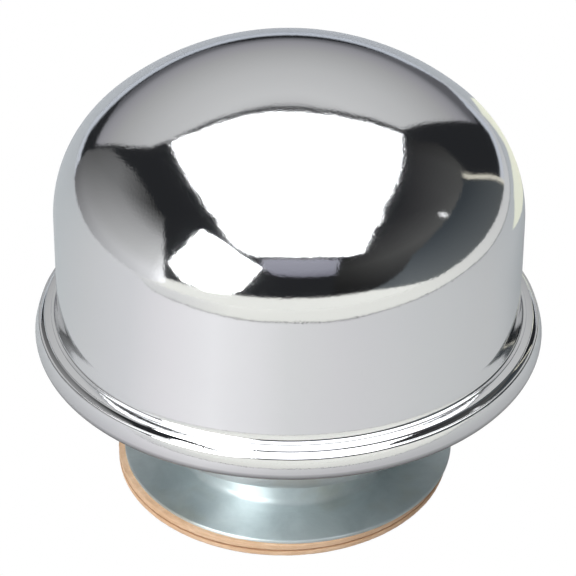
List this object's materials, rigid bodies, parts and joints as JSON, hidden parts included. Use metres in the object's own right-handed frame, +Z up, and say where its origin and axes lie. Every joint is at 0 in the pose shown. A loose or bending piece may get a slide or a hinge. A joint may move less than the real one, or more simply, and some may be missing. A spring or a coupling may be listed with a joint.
{
  "type": "crankcase breather filter",
  "caption": "Round chromed breather cap with a domed cover, curled rim, zinc neck and disc, fibre gasket and a twist-in base.",
  "frame": {"origin": "centre of the flat lower edge of the twist lock, which the cap stands on", "axes": "+Z up along the cap's axis, towards the crown; the twist lock's ears point along +X and -X; -Y faces the viewer"},
  "size_m": [0.0834, 0.0834, 0.083],
  "materials": {
    "chrome": "bright polished chrome plate",
    "zinc_pan": "satin zinc plate with a blue-green tint",
    "zinc_flange": "satin zinc plate, mottled and lightly scratched",
    "fibre": "tan pressed fibre, edge split into two plies",
    "zinc_lock": "satin zinc plate",
    "zinc_inside": "galvanised sheet",
    "wire": "knitted steel wire"
  },
  "bodies": {
    "root": {"dome_cover": "chrome", "bottom_pan": "zinc_pan", "base_flange": "zinc_flange", "gasket": "fibre", "twist_lock": "zinc_lock", "mesh_cage": "zinc_inside", "oil_baffle": "zinc_inside", "filter_mesh": "wire"}
  },
  "joints": []
}
